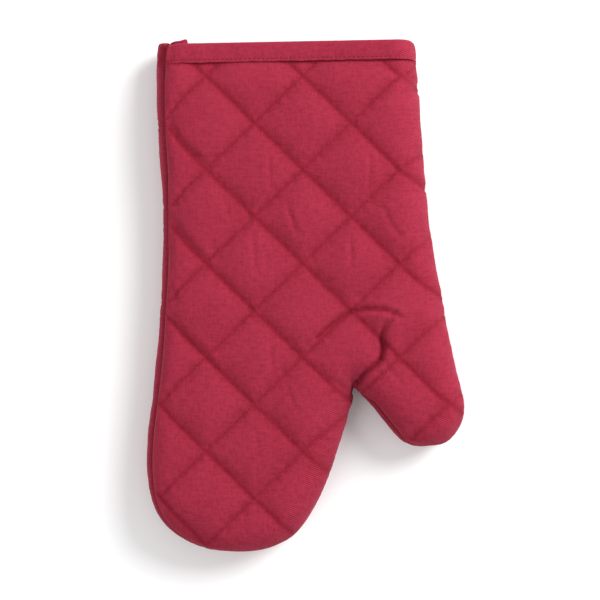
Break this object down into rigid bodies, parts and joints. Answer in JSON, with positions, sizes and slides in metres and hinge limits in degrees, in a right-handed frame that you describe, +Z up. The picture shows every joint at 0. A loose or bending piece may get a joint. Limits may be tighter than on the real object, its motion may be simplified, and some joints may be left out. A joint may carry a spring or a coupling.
{
  "type": "oven mitt",
  "caption": "Quilted cotton oven mitt with a thumb, a bound cuff and a small tape hanging loop, lying flat on its back panel.",
  "frame": {"origin": "centre of the mitt's footprint on the table, under its back panel", "axes": "+Y from the fingertips to the cuff, +X towards the thumb, +Z up from the back panel to the front panel"},
  "size_m": [0.2032, 0.3302, 0.036],
  "materials": {
    "shell_cotton": "crimson cotton twill, diamond quilted, matt",
    "batting_felt": "off-white needled cotton batting",
    "lining_cotton": "crimson plain-weave cotton lining, matt",
    "binding_tape": "crimson twill binding tape, folded and topstitched",
    "thread": "crimson sewing thread"
  },
  "bodies": {
    "palm": {"front_palm_shell": "shell_cotton", "front_palm_batting": "batting_felt", "front_palm_lining": "lining_cotton", "front_palm_quilting_thread": "thread", "front_cuff_binding": "binding_tape", "front_binding_stitching": "thread", "back_palm_shell": "shell_cotton", "back_palm_batting": "batting_felt", "back_palm_lining": "lining_cotton", "back_palm_quilting_thread": "thread", "back_cuff_binding": "binding_tape", "back_binding_stitching": "thread", "left_seam_thread": "thread", "right_seam_thread": "thread", "loop_bartack": "thread"},
    "fingers": {"front_fingers_shell": "shell_cotton", "front_fingers_batting": "batting_felt", "front_fingers_lining": "lining_cotton", "front_fingers_quilting_thread": "thread", "back_fingers_shell": "shell_cotton", "back_fingers_batting": "batting_felt", "back_fingers_lining": "lining_cotton", "back_fingers_quilting_thread": "thread", "fingers_seam_thread": "thread"},
    "thumb": {"front_thumb_shell": "shell_cotton", "front_thumb_batting": "batting_felt", "front_thumb_lining": "lining_cotton", "front_thumb_quilting_thread": "thread", "back_thumb_shell": "shell_cotton", "back_thumb_batting": "batting_felt", "back_thumb_lining": "lining_cotton", "back_thumb_quilting_thread": "thread", "thumb_seam_thread": "thread"},
    "hanging_loop": {"hanging_loop": "binding_tape"}
  },
  "joints": [
    {"name": "fingers_bend", "type": "hinge", "parent": "palm", "child": "fingers", "pos_m": [-0.0329, -0.0606, 0.0362], "axis": [-0.9997, -0.0232, 0], "range_deg": [0, 60]},
    {"name": "thumb_bend", "type": "hinge", "parent": "palm", "child": "thumb", "pos_m": [0.0633, -0.04834, 0.0362], "axis": [-0.9469, -0.3216, 0], "range_deg": [0, 60]},
    {"name": "loop_swing", "type": "hinge", "parent": "palm", "child": "hanging_loop", "pos_m": [-0.08525, 0.16232, 0.015], "axis": [0, 0, 1], "range_deg": [0, 80]}
  ]
}
